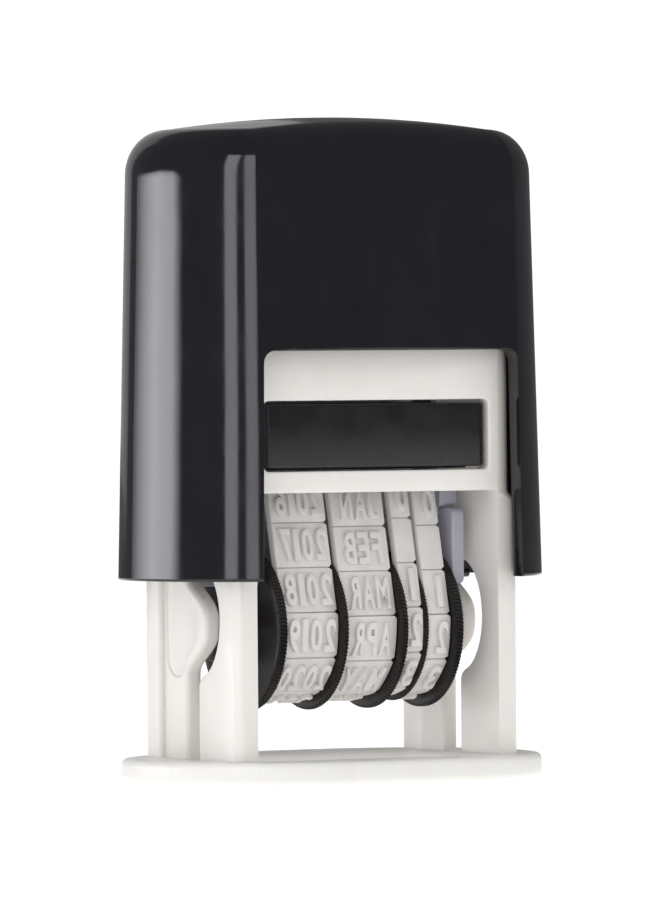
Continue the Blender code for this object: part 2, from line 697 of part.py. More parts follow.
def main():
    clear_scene()
    parts = new_collection(PART_NAME)
    cutters = new_collection(PART_NAME + "_cutters")

    white = material("warm_white_plastic", (0.80, 0.78, 0.74), 0.40)
    black = material("gloss_black_plastic", (0.010, 0.010, 0.012), 0.12)
    satin_black = material("satin_black_plastic", (0.016, 0.016, 0.018), 0.35)
    grey = material("grey_plastic", (0.42, 0.41, 0.47), 0.40)
    steel = material("bright_steel", (0.60, 0.60, 0.62), 0.25, 1.0)
    rubber = material("pale_grey_rubber", (0.50, 0.48, 0.45), 0.60)
    felt = material("inked_felt", (0.02, 0.02, 0.03), 0.90)

    press = joint_empty("cover_press_axis", (0, 0, CAP_BOTTOM_Z), parts)
    pivot = joint_empty("carrier_pivot_axis", (0, 0, PIVOT_Z), parts)
    axle = joint_empty("date_wheel_axis", (0, 0, AXLE_Z), parts)
    drawer = joint_empty("ink_slide_axis", (0, TRAY_Y[0], TRAY_Z[0]), parts)
    hang_on(pivot, press)
    hang_on(axle, pivot)

    build_foot(parts, cutters, white)
    build_frame(parts, cutters, white)
    build_spring(parts, steel)

    on_cap = [build_cap(parts, cutters, black), build_yoke(parts, cutters, steel), *build_pivot_pins(parts, steel)]
    for obj in on_cap:
        hang_on(obj, press)

    for obj in (build_ink_tray(parts, cutters, satin_black), build_ink_pad(parts, felt)):
        hang_on(obj, drawer)

    on_carrier = [
        build_cheek(-1, "cheek_left", parts, cutters, grey),
        build_cheek(1, "cheek_right", parts, cutters, grey),
        build_bearing(-1, "bearing_left", parts, satin_black),
        build_bearing(1, "bearing_right", parts, satin_black),
        build_anvil(parts, cutters, grey),
        build_axle(parts, steel),
        *build_spacers(parts, steel),
        *build_bands(parts, rubber),
    ]
    for obj in on_carrier:
        hang_on(obj, pivot)
    for obj in build_wheels(parts, satin_black):
        hang_on(obj, axle)


main()
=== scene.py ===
"""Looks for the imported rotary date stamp: finer pieces, materials, floor, light and camera.

X runs along the line of print, Y from front to back, Z up from the paper.  Metres.
"""

import math

import bmesh
import bpy
from mathutils import Euler, Matrix, Vector


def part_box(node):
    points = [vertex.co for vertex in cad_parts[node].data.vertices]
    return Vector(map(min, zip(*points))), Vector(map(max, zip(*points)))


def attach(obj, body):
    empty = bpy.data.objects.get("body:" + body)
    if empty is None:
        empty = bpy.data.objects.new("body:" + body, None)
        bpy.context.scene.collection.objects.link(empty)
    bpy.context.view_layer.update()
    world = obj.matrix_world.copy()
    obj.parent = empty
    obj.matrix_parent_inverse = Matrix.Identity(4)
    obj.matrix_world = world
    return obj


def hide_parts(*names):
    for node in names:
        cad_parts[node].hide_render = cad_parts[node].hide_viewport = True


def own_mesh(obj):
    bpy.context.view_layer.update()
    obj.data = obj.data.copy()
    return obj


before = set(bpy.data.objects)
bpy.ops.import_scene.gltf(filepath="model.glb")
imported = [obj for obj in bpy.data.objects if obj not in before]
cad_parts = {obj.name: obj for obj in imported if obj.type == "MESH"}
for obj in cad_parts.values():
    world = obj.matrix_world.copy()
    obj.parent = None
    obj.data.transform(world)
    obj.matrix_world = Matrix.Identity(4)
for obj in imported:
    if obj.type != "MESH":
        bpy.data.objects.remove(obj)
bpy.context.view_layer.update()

MM = 0.001
TAU = 2 * math.pi


# ---------------------------------------------------------------- outlines

def arc(centre, radius, start_deg, end_deg, steps):
    """Points on a circle, both ends included."""
    points = []
    for i in range(steps + 1):
        angle = math.radians(start_deg + (end_deg - start_deg) * i / steps)
        points.append((centre[0] + radius * math.cos(angle), centre[1] + radius * math.sin(angle)))
    return points


def rounded_rectangle(low, high, radius, steps=6):
    """Outline from the low corner to the high corner, with round corners."""
    corners = (
        ((high[0] - radius, high[1] - radius), 0),
        ((low[0] + radius, high[1] - radius), 90),
        ((low[0] + radius, low[1] + radius), 180),
        ((high[0] - radius, low[1] + radius), 270),
    )
    points = []
    for centre, start in corners:
        points += arc(centre, radius, start, start + 90, steps)
    return points


# ---------------------------------------------------------------- solids

def new_object(name, mesh):
    obj = bpy.data.objects.new(name, mesh)
    bpy.context.scene.collection.objects.link(obj)
    return obj


def mesh_object(name, vertices, faces):
    mesh = bpy.data.meshes.new(name)
    mesh.from_pydata(vertices, [], faces)
    mesh.validate()
    obj = new_object(name, mesh)
    tidy_normals(obj)
    return obj


def tidy_normals(obj):
    bm = bmesh.new()
    bm.from_mesh(obj.data)
    bmesh.ops.remove_doubles(bm, verts=bm.verts, dist=1e-7)
    bmesh.ops.recalc_face_normals(bm, faces=bm.faces)
    bm.to_mesh(obj.data)
    bm.free()


def bake(obj):
    """Replaces the object's data by its mesh with modifiers applied."""
    graph = bpy.context.evaluated_depsgraph_get()
    mesh = bpy.data.meshes.new_from_object(obj.evaluated_get(graph), depsgraph=graph)
    mesh.name = obj.name
    if obj.type == "MESH":
        obj.modifiers.clear()
        obj.data = mesh
        return obj
    matrix = obj.matrix_world.copy()
    name = obj.name
    bpy.data.objects.remove(obj)
    solid = new_object(name, mesh)
    solid.matrix_world = matrix
    return solid


PLANES = {
    "XY": Matrix.Identity(3),
    "XZ": Matrix(((1, 0, 0), (0, 0, -1), (0, 1, 0))),
    "YZ": Matrix(((0, 0, 1), (1, 0, 0), (0, 1, 0))),
}


def plate(name, loops, plane, low, high, edge=0.0, edge_steps=3):
    """A flat form with holes, from low to high across its plane, with its edges rounded."""
    curve = bpy.data.curves.new(name, "CURVE")
    curve.dimensions = "2D"
    curve.fill_mode = "BOTH"
    curve.extrude = (high - low) / 2 - edge
    curve.bevel_depth = edge
    curve.bevel_resolution = edge_steps
    curve.offset = -edge
    for loop in loops:
        spline = curve.splines.new("POLY")
        spline.points.add(len(loop) - 1)
        for point, (x, y) in zip(spline.points, loop):
            point.co = (x, y, 0, 1)
        spline.use_cyclic_u = True
    obj = new_object(name, curve)
    turn = PLANES[plane]
    obj = bake(obj)
    across = turn @ Vector((0, 0, 1))
    obj.data.transform(Matrix.Translation(across * (low + high) / 2) @ turn.to_4x4())
    tidy_normals(obj)
    return obj


def loft(name, rings, closed_ends=True):
    """Skin over rings of equal point counts."""
    count = len(rings[0])
    vertices = [point for ring in rings for point in ring]
    faces = []
    for r in range(len(rings) - 1):
        for i in range(count):
            j = (i + 1) % count
            faces.append((r * count + i, r * count + j, (r + 1) * count + j, (r + 1) * count + i))
    if closed_ends:
        faces.append(tuple(range(count)))
        faces.append(tuple(range((len(rings) - 1) * count, len(rings) * count)))
    return mesh_object(name, vertices, faces)


def grid(rows):
    """Vertices and faces of an open sheet over equally long rows of points."""
    count = len(rows[0])
    vertices = [point for row in rows for point in row]
    faces = []
    for r in range(len(rows) - 1):
        for i in range(count - 1):
            faces.append((r * count + i, r * count + i + 1, (r + 1) * count + i + 1, (r + 1) * count + i))
    return vertices, faces


def turned(name, profile, steps, ripple=None):
    """Profile of (radius, x, toothed) turned round X; ripple gives a toothed ring's depth at each step."""
    rings = []
    for radius, x, toothed in profile:
        ring = []
        for i in range(steps):
            angle = TAU * i / steps
            r = radius - (ripple(i) if ripple and toothed else 0.0)
            ring.append((x, r * math.cos(angle), r * math.sin(angle)))
        rings.append(ring)
    rings.append(rings[0])
    return loft(name, rings, closed_ends=False)


def combine(target, others, operation):
    for other in others:
        modifier = target.modifiers.new(other.name, "BOOLEAN")
        modifier.operation = operation
        modifier.object = other
        modifier.solver = "EXACT"
        bake(target)
        bpy.data.objects.remove(other)
    return target


def finish(obj, mat, body, nodes, sharp=32):
    obj.data.materials.clear()
    obj.data.materials.append(mat)
    obj.data.shade_smooth()
    obj.data.set_sharp_from_angle(angle=math.radians(sharp))
    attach(obj, body)
    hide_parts(*nodes)
    return obj


# ---------------------------------------------------------------- materials

class Surface:
    """A Principled material built up from noise layers in object coordinates."""

    def __init__(self, name):
        self.mat = bpy.data.materials.new(name)
        self.mat.use_nodes = True
        self.tree = self.mat.node_tree
        self.shader = self.tree.nodes["Principled BSDF"]
        self.place = self.tree.nodes.new("ShaderNodeTexCoord").outputs["Object"]

    def set(self, **values):
        for name, value in values.items():
            self.shader.inputs[name.replace("_", " ")].default_value = value
        return self

    def stretched(self, scale):
        mapping = self.tree.nodes.new("ShaderNodeMapping")
        mapping.inputs["Scale"].default_value = scale
        self.tree.links.new(self.place, mapping.inputs["Vector"])
        return mapping.outputs["Vector"]

    def noise(self, size, detail=3.0, rough=0.5, stretch=None, distortion=0.0):
        """Noise whose features are about size metres across."""
        node = self.tree.nodes.new("ShaderNodeTexNoise")
        node.inputs["Scale"].default_value = 1.0 / size
        node.inputs["Detail"].default_value = detail
        node.inputs["Roughness"].default_value = rough
        node.inputs["Distortion"].default_value = distortion
        source = self.stretched(stretch) if stretch else self.place
        self.tree.links.new(source, node.inputs["Vector"])
        return node.outputs["Fac"]

    def ranged(self, value, low, high, out_low, out_high):
        node = self.tree.nodes.new("ShaderNodeMapRange")
        numbers = {"From Min": low, "From Max": high, "To Min": out_low, "To Max": out_high}
        for name, number in numbers.items():
            node.inputs[name].default_value = number
        self.tree.links.new(value, node.inputs["Value"])
        return node.outputs["Result"]

    def mixed(self, factor, first, second):
        node = self.tree.nodes.new("ShaderNodeMix")
        node.data_type = "RGBA"
        self.tree.links.new(factor, node.inputs["Factor"])
        for socket, colour in (("A", first), ("B", second)):
            target = next(s for s in node.inputs if s.name == socket and s.type == "RGBA")
            if isinstance(colour, tuple):
                target.default_value = (*colour, 1.0)
            else:
                self.tree.links.new(colour, target)
        return next(s for s in node.outputs if s.type == "RGBA")

    def cloud(self, size, first, second):
        """Colour that drifts between two tones."""
        return self.mixed(self.ranged(self.noise(size, 4.0, 0.6), 0.3, 0.7, 0.0, 1.0), first, second)

    def colour(self, source):
        self.tree.links.new(source, self.shader.inputs["Base Color"])
        return self

    def roughness(self, source):
        self.tree.links.new(source, self.shader.inputs["Roughness"])
        return self

    def bump(self, layers):
        """Layers of (height source, depth in metres)."""
        normal = None
        for height, depth in layers:
            node = self.tree.nodes.new("ShaderNodeBump")
            node.inputs["Strength"].default_value = 1.0
            node.inputs["Distance"].default_value = depth
            self.tree.links.new(height, node.inputs["Height"])
            if normal is not None:
                self.tree.links.new(normal, node.inputs["Normal"])
            normal = node.outputs["Normal"]
        self.tree.links.new(normal, self.shader.inputs["Normal"])
        return self


def plastic(name, main, second, rough, grain, depths, scuffs):
    """Moulded plastic: cloudy colour, faint scuffs, uneven gloss, fine grain and soft waviness.

    rough is the range of roughness, grain the size of the grain, depths those of grain and waves, in mm."""
    surface = Surface(name)
    colour = surface.cloud(6 * MM, main, second)
    scratch = surface.noise(1.6 * MM, 5.0, 0.6, (1.0, 1.0, 0.12), 0.4)
    surface.colour(surface.mixed(surface.ranged(scratch, 0.58, 0.85, 0.0, 0.22), colour, scuffs))
    surface.roughness(surface.ranged(surface.noise(3 * MM), 0.3, 0.75, *rough))
    fine = (surface.noise(grain * MM, 3.0, 0.6), depths[0] * MM)
    waves = (surface.noise(9 * MM, 1.0, 0.4), depths[1] * MM)
    surface.bump([fine, waves])
    return surface


def make_materials():
    made = {}
    glow = {"Subsurface_Weight": 0.25, "Subsurface_Scale": 1.2 * MM}
    made["white_plastic"] = plastic(
        "white_plastic", (0.86, 0.835, 0.80), (0.82, 0.79, 0.755),
        (0.3, 0.46), 0.5, (0.005, 0.03), (0.68, 0.64, 0.59))
    made["white_plastic"].set(Subsurface_Radius=(1.0, 0.85, 0.7), **glow)
    made["white_plastic_foot"] = plastic(
        "white_plastic_foot", (0.85, 0.84, 0.815), (0.81, 0.80, 0.775),
        (0.28, 0.44), 0.5, (0.005, 0.03), (0.63, 0.62, 0.59))
    made["white_plastic_foot"].set(Subsurface_Radius=(1.0, 0.9, 0.75), **glow)
    made["gloss_black_plastic"] = plastic(
        "gloss_black_plastic", (0.0105, 0.0096, 0.0125), (0.0135, 0.0118, 0.0155),
        (0.07, 0.13), 1.2, (0.0012, 0.05), (0.03, 0.028, 0.03))
    made["satin_black_plastic"] = plastic(
        "satin_black_plastic", (0.0095, 0.0085, 0.0105), (0.0125, 0.0115, 0.0135),
        (0.24, 0.38), 0.3, (0.003, 0.02), (0.05, 0.047, 0.045))
    made["wheel_plastic"] = plastic(
        "wheel_plastic", (0.009, 0.0075, 0.007), (0.014, 0.012, 0.011),
        (0.36, 0.55), 0.25, (0.003, 0.015), (0.04, 0.037, 0.034))
    made["wheel_plastic"].set(Specular_IOR_Level=0.3)
    made["grey_plastic"] = plastic(
        "grey_plastic", (0.44, 0.435, 0.50), (0.38, 0.375, 0.44),
        (0.3, 0.45), 0.4, (0.004, 0.02), (0.3, 0.29, 0.32))
    rubber = Surface("pale_rubber")
    cloud = rubber.cloud(2.2 * MM, (0.76, 0.735, 0.715), (0.69, 0.665, 0.645))
    speck = rubber.ranged(rubber.noise(0.22 * MM, 4.0, 0.7), 0.6, 0.75, 0.0, 0.35)
    rubber.colour(rubber.mixed(speck, cloud, (0.55, 0.53, 0.52)))
    rubber.roughness(rubber.ranged(rubber.noise(1.1 * MM), 0.3, 0.7, 0.62, 0.85))
    rubber.bump([(rubber.noise(0.12 * MM, 4.0, 0.65), 0.006 * MM), (rubber.noise(0.9 * MM), 0.03 * MM)])
    made["pale_rubber"] = rubber
    steel = Surface("steel")
    drawn = steel.noise(0.2 * MM, 4.0, 0.7, (0.1, 1.0, 1.0))
    steel.colour(steel.mixed(steel.ranged(drawn, 0.3, 0.7, 0, 1), (0.62, 0.62, 0.63), (0.48, 0.48, 0.5)))
    steel.roughness(steel.ranged(drawn, 0.3, 0.7, 0.2, 0.42))
    steel.bump([(drawn, 0.002 * MM)])
    steel.set(Metallic=1.0)
    made["steel"] = steel
    felt = Surface("inked_felt")
    fibre = felt.noise(0.35 * MM, 6.0, 0.75, None, 1.5)
    felt.colour(felt.mixed(felt.ranged(fibre, 0.35, 0.65, 0, 1), (0.008, 0.008, 0.014), (0.04, 0.038, 0.055)))
    felt.roughness(felt.ranged(fibre, 0.3, 0.7, 0.55, 0.9))
    felt.bump([(fibre, 0.08 * MM)])
    made["inked_felt"] = felt
    return {name: surface.mat for name, surface in made.items()}


# ---------------------------------------------------------------- foot and frame

FOOT_END_RADIUS = 12.955 * MM
FOOT_END_X = 6.69 * MM
FOOT_HEIGHT = 2.0 * MM
FOOT_OPENING = (11.7 * MM, 7.4 * MM)
WALL_IN_X = 12.35 * MM
WALL_OUT_X = 14.55 * MM
UPPER_OUT_X = 14.2 * MM
FRAME_HALF_Y = 8.4 * MM
PLATE_THICK = 1.7 * MM
FRAME_BOTTOM_Z = 0.75 * MM
FRAME_TOP_Z = 39.5 * MM
SHOULDER_Z = 24.6 * MM
CROSSBAR_Z = 25.57 * MM
WINDOW_Z = (27.47 * MM, 33.7 * MM)
WINDOW_HALF_X = 11.5 * MM
WINDOW_CORNER = 0.5 * MM
DECK_HALF = (12.5 * MM, 7.5 * MM)
DECK_Z = (34.3 * MM, 36.1 * MM)
SPRING_POST_RADIUS = 3.3 * MM
SPRING_POST_TOP_Z = 38.6 * MM
SLOT_REAR_Y = 1.5 * MM
SLOT_FRONT_Y = -1.5 * MM
SLOT_LOW_Z = 1.6 * MM
SLOT_TOP_Z = 22.6 * MM
HOLLOW = (3.75 * MM, 5.0 * MM)
HOLLOW_MID_Z = 14.35 * MM
HOLLOW_SINK = 0.2 * MM
HOLLOW_TURN = 72
NOSE = (3.5 * MM, 4.4 * MM)
NOSE_MID_Z = 13.9 * MM
RECESS_X = 14.0 * MM
RECESS_BACK_Y = 5.45 * MM
POCKET_DEPTH = 0.14 * MM
POCKET_BACK_Y = 5.0 * MM
POCKET_RIM = 1.3 * MM
POCKET_Z = (11.0 * MM, 22.2 * MM)


def build_foot(mats):
    outline = arc((FOOT_END_X, 0), FOOT_END_RADIUS, -90, 90, 40)
    outline += arc((-FOOT_END_X, 0), FOOT_END_RADIUS, 90, 270, 40)
    opening = rounded_rectangle((-FOOT_OPENING[0], -FOOT_OPENING[1]), FOOT_OPENING, 1.0 * MM)
    foot = plate("foot_plate", [outline, opening], "XY", 0.0, FOOT_HEIGHT, 0.5 * MM, 5)
    sockets = []
    for side in (-1, 1):
        xs = sorted((side * (WALL_IN_X - 0.1 * MM), side * (WALL_OUT_X + 0.1 * MM)))
        ys = (-FRAME_HALF_Y - 0.1 * MM, FRAME_HALF_Y + 0.1 * MM)
        loop = rounded_rectangle((xs[0], ys[0]), (xs[1], ys[1]), 0.9 * MM)
        sockets.append(plate(f"socket_{side}", [loop], "XY", 0.6 * MM, 3 * MM))
    combine(foot, sockets, "DIFFERENCE")
    return finish(foot, mats["white_plastic_foot"], "frame", ["base_foot"])


def rear_edge_y(z):
    """The slot's rear edge, which bulges forward in a nose."""
    along = abs(z - NOSE_MID_Z) / NOSE[1]
    if along >= 1:
        return SLOT_REAR_Y
    return SLOT_REAR_Y - NOSE[0] * (1 - along ** 3) ** 2.5


def opening_outline():
    """Opening through a wall in Y and Z: the bowed slot and the recess behind it."""
    corner = 0.5 * MM
    points = arc((RECESS_BACK_Y - corner, SLOT_LOW_Z + corner), corner, -90, 0, 4)
    points += arc((RECESS_BACK_Y - corner, SLOT_TOP_Z - corner), corner, 0, 90, 4)
    points += arc((SLOT_FRONT_Y + corner, SLOT_TOP_Z - corner), corner, 90, 180, 4)
    points += hollow_edge()
    points += arc((SLOT_FRONT_Y + corner, SLOT_LOW_Z + corner), corner, 180, 270, 4)
    return points


def nose_outline(low_z):
    """The thinner sheet that closes the recess, with the nose on its front edge."""
    back_y = RECESS_BACK_Y + 0.8 * MM
    top_z = SLOT_TOP_Z + 1.2 * MM
    steps = 30
    points = [(SLOT_REAR_Y, low_z), (back_y, low_z), (back_y, top_z), (SLOT_REAR_Y, top_z)]
    for i in range(steps + 1):
        z = NOSE_MID_Z + NOSE[1] * (1 - 2 * i / steps)
        points.append((rear_edge_y(z), z))
    return points


def hollow_edge():
    """The slot's front edge where it bows forward: an elliptic hollow with a round at each end."""
    steps = 24
    depth, half = HOLLOW
    bulge = depth + HOLLOW_SINK
    turn = math.radians(HOLLOW_TURN)
    start = math.atan2(bulge, half * math.tan(turn))
    start_y = SLOT_FRONT_Y + HOLLOW_SINK - bulge * math.sin(start)
    radius = (SLOT_FRONT_Y - start_y) / (1 - math.cos(turn))
    round_z = half * math.cos(start) + radius * math.sin(turn)
    centre_y = SLOT_FRONT_Y - radius
    points = arc((centre_y, HOLLOW_MID_Z + round_z), radius, 0, -HOLLOW_TURN, 8)
    for i in range(1, steps):
        angle = start + (math.pi - 2 * start) * i / steps
        y = SLOT_FRONT_Y + HOLLOW_SINK - bulge * math.sin(angle)
        points.append((y, HOLLOW_MID_Z + half * math.cos(angle)))
    points += arc((centre_y, HOLLOW_MID_Z - round_z), radius, HOLLOW_TURN, 0, 8)
    return points


def pocket_outline():
    """Shallow pocket that follows the nose at the width of a rim."""
    low, high = POCKET_Z
    front_y = rear_edge_y(low) + POCKET_RIM
    radius = (POCKET_BACK_Y - front_y) / 2
    points = arc((front_y + radius, low), radius, 180, 360, 14)
    points += [(POCKET_BACK_Y, high), (rear_edge_y(high) + POCKET_RIM, high)]
    steps = 26
    for i in range(1, steps):
        z = high + (low - high) * i / steps
        points.append((rear_edge_y(z) + POCKET_RIM, z))
    return points


def frame_envelope():
    """Outer form in plan: rounded posts below the shoulder, narrower and rounder above it."""
    slack = 0.02 * MM

    def outline(out_x, corner, inset=0.0):
        half = (out_x - inset + slack, FRAME_HALF_Y - inset + slack)
        return rounded_rectangle((-half[0], -half[1]), half, corner - inset * 0.5, 10)

    levels = [
        (outline(WALL_OUT_X, 1.0 * MM), FRAME_BOTTOM_Z),
        (outline(WALL_OUT_X, 1.0 * MM), SHOULDER_Z),
        (outline(WALL_OUT_X, 1.2 * MM, 0.08 * MM), SHOULDER_Z + 0.25 * MM),
        (outline(UPPER_OUT_X, 1.85 * MM, -0.08 * MM), SHOULDER_Z + 0.65 * MM),
        (outline(UPPER_OUT_X, 1.9 * MM), SHOULDER_Z + 0.9 * MM),
        (outline(UPPER_OUT_X, 1.9 * MM), FRAME_TOP_Z - 1.6 * MM),
        (outline(UPPER_OUT_X, 1.9 * MM, 0.5 * MM), FRAME_TOP_Z),
    ]
    return loft("frame_envelope", [[(x, y, z) for x, y in loop] for loop, z in levels])


def build_frame(mats):
    past = 1 * MM
    bottom = FRAME_BOTTOM_Z - past
    top = FRAME_TOP_Z + past
    half_y = FRAME_HALF_Y + past
    wall_loop = [(-half_y, bottom), (half_y, bottom), (half_y, top), (-half_y, top)]
    pieces = []
    for side in (-1, 1):
        xs = sorted((side * WALL_IN_X, side * WALL_OUT_X))
        pieces.append(plate(f"wall_{side}", [wall_loop, opening_outline()], "YZ", xs[0], xs[1], 0.4 * MM, 4))
        xs = sorted((side * (WALL_IN_X + 0.02 * MM), side * RECESS_X))
        pieces.append(plate(f"nose_{side}", [nose_outline(bottom)], "YZ", xs[0], xs[1], 0.5 * MM, 5))
    window = rounded_rectangle((-WINDOW_HALF_X, WINDOW_Z[0]), (WINDOW_HALF_X, WINDOW_Z[1]), WINDOW_CORNER)
    panel = [(-WALL_OUT_X, CROSSBAR_Z), (WALL_OUT_X, CROSSBAR_Z), (WALL_OUT_X, top), (-WALL_OUT_X, top)]
    front_y = (-FRAME_HALF_Y, -FRAME_HALF_Y + PLATE_THICK)
    # plate() lays XZ plates along -Y, so the range is turned round
    pieces.append(plate("front_panel", [panel, window], "XZ", -front_y[1], -front_y[0], 0.18 * MM, 3))
    pieces.append(plate("back_panel", [panel], "XZ", front_y[0], front_y[1], 0.18 * MM, 3))
    deck = rounded_rectangle((-DECK_HALF[0], -DECK_HALF[1]), DECK_HALF, 0.3 * MM)
    pieces.append(plate("deck", [deck], "XY", DECK_Z[0], DECK_Z[1]))
    post = arc((0, 0), SPRING_POST_RADIUS, 0, 360 - 7.5, 47)
    post_z = (DECK_Z[0] + 0.3 * MM, SPRING_POST_TOP_Z)
    pieces.append(plate("spring_post", [post], "XY", post_z[0], post_z[1], 0.4 * MM, 3))
    body = pieces[0]
    combine(body, pieces[1:], "UNION")
    combine(body, [frame_envelope()], "INTERSECT")
    cutters = []
    for side in (-1, 1):
        xs = sorted((side * (RECESS_X - POCKET_DEPTH), side * (WALL_OUT_X + 4 * MM)))
        cutters.append(plate(f"pocket_{side}", [pocket_outline()], "YZ", xs[0], xs[1], 0.2 * MM, 3))
    combine(body, cutters, "DIFFERENCE")
    body.name = "frame_body"
    return finish(body, mats["white_plastic"], "frame", ["frame"], 28)


# ---------------------------------------------------------------- cap

CAP_END_RADIUS = 12.85 * MM
CAP_END_X = 7.0 * MM
CAP_PANEL_Y = 11.2 * MM
CAP_BOTTOM_Z = 17.9 * MM
CAP_TOP_Z = 58.9 * MM
CAP_TAPER = 0.0236
CAP_END_WALL = 1.3 * MM
CAP_PANEL_WALL = 1.7 * MM
CAP_ROOF = 1.6 * MM
CAP_ROUND_IN = 3.6 * MM
CAP_ROUND_UP = 4.0 * MM
CREASE_RADIUS = 0.55 * MM
CROWN = (108 * MM, 50 * MM)
CUTOUT_TOP_Z = 38.1 * MM
CUTOUT_X = (-13.2 * MM, 13.3 * MM)
CUTOUT_LEAN = (0.0236, -0.006)
CUTOUT_CORNER = 1.1 * MM


def cap_section(inset, end_wall=0.0, panel_wall=0.0):
    """Plan outline: two big end arcs, a small round at each crease, and flat panels."""
    radius = CAP_END_RADIUS - end_wall - inset
    panel = CAP_PANEL_Y - panel_wall - inset
    fillet = CREASE_RADIUS
    fillet_x = math.sqrt((radius - fillet) ** 2 - (panel - fillet) ** 2)
    edge = math.degrees(math.atan2(panel - fillet, fillet_x))
    centre_x = CAP_END_X + fillet_x
    points = arc((CAP_END_X, 0), radius, -edge, edge, 44)
    points += arc((centre_x, panel - fillet), fillet, edge, 90, 5)[1:]
    flat = 14
    points += [(centre_x * (1 - 2 * i / flat), panel) for i in range(1, flat)]
    points += arc((-centre_x, panel - fillet), fillet, 90, 180 - edge, 5)
    points += arc((-CAP_END_X, 0), radius, 180 - edge, 180 + edge, 44)[1:]
    points += arc((-centre_x, -panel + fillet), fillet, 180 + edge, 270, 5)[1:]
    points += [(-centre_x * (1 - 2 * i / flat), -panel) for i in range(1, flat)]
    points += arc((centre_x, -panel + fillet), fillet, 270, 360 - edge, 5)[:-1]
    return points


def crown_z(x, y, roof):
    return CAP_TOP_Z - roof - x * x / (2 * CROWN[0]) - y * y / (2 * CROWN[1])


def cap_form(name, bottom_z, end_wall, panel_wall, roof, rim_round):
    """The cap's outer form, or the hollow inside it."""
    round_in = CAP_ROUND_IN - end_wall
    round_up = CAP_ROUND_UP - roof
    top_inset = CAP_TAPER * (CAP_TOP_Z - CAP_ROUND_UP - CAP_BOTTOM_Z)
    rim = cap_section(top_inset + round_in, end_wall, panel_wall)
    rings = []
    if rim_round:
        for i in range(4):
            angle = math.pi / 2 * i / 4
            inset = rim_round * (1 - math.sin(angle))
            z = bottom_z + rim_round * (1 - math.cos(angle))
            rings.append([(x, y, z) for x, y in cap_section(inset, end_wall, panel_wall)])
    start_z = bottom_z + rim_round
    levels = [0.0, 0.004, 0.02] + [i / 16 for i in range(1, 16)] + [0.975, 0.99]
    for share in levels:
        ring = []
        low = cap_section(CAP_TAPER * (start_z - CAP_BOTTOM_Z), end_wall, panel_wall)
        high = cap_section(top_inset, end_wall, panel_wall)
        for (x0, y0), (x1, y1), (xr, yr) in zip(low, high, rim):
            z_top = crown_z(xr, yr, roof) - round_up
            ring.append((x0 + (x1 - x0) * share, y0 + (y1 - y0) * share, start_z + (z_top - start_z) * share))
        rings.append(ring)
    steps = 14
    for i in range(steps + 1):
        angle = math.pi / 2 * i / steps
        outline = cap_section(top_inset + round_in * (1 - math.cos(angle)), end_wall, panel_wall)
        ring = []
        for (x, y), (xr, yr) in zip(outline, rim):
            base = crown_z(xr, yr, roof) - round_up
            ring.append((x, y, base + round_up * math.sin(angle)))
        rings.append(ring)
    for size in (0.93, 0.84, 0.72, 0.58, 0.42, 0.26, 0.1):
        rings.append([(x * size, y * size, crown_z(x * size, y * size, roof)) for x, y in rim])
    return loft(name, rings)


def cap_cutout():
    """Front opening over the window and the bands, with a small round at its outer edge."""
    below = CAP_BOTTOM_Z - 2 * MM
    flare = 0.15 * MM

    def loop(grow):
        top = CUTOUT_TOP_Z + grow
        rise = CUTOUT_TOP_Z - CAP_BOTTOM_Z
        left, right = CUTOUT_X[0] - grow, CUTOUT_X[1] + grow
        corner = CUTOUT_CORNER + grow
        points = [(left, below), (right, below)]
        points += arc((right + CUTOUT_LEAN[1] * rise - corner, top - corner), corner, 0, 90, 10)
        points += arc((left + CUTOUT_LEAN[0] * rise + corner, top - corner), corner, 90, 180, 10)
        return points

    def panel_y(z):
        return -(CAP_PANEL_Y - CAP_TAPER * (z - CAP_BOTTOM_Z))

    rings = [[(x, -8.6 * MM, z) for x, z in loop(0.0)]]
    for i in range(5):
        angle = math.pi / 2 * i / 4
        grow = flare * (1 - math.cos(angle))
        rings.append([(x, panel_y(z) + flare * (1 - math.sin(angle)), z) for x, z in loop(grow)])
    rings.append([(x, -16 * MM, z) for x, z in loop(flare)])
    return loft("cap_cutout", rings)


def build_cap(mats):
    cap = cap_form("cap_shell", CAP_BOTTOM_Z, 0.0, 0.0, 0.0, 0.15 * MM)
    inside = cap_form("cap_inside", CAP_BOTTOM_Z - 1 * MM, CAP_END_WALL, CAP_PANEL_WALL, CAP_ROOF, 0.0)
    combine(cap, [inside, cap_cutout()], "DIFFERENCE")
    return finish(cap, mats["gloss_black_plastic"], "cap", ["cover_shell"], 24)


# ---------------------------------------------------------------- ink cartridge

def build_tray(mats):
    low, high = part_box("ink_tray")
    corner = 0.8 * MM
    outline = rounded_rectangle((low.x, low.y), (high.x, high.y), corner, 8)
    tray = plate("cartridge", [outline], "XY", low.z, high.z, 0.25 * MM, 3)
    wall = 1.1 * MM
    hollow = rounded_rectangle((low.x + wall, low.y + wall), (high.x - wall, high.y - wall), 0.6 * MM)
    hollow_top = high.z - 1.6 * MM
    combine(tray, [plate("tray_hollow", [hollow], "XY", low.z - 1 * MM, hollow_top)], "DIFFERENCE")
    return finish(tray, mats["satin_black_plastic"], "ink_cartridge", ["ink_tray"])


# ---------------------------------------------------------------- carrier

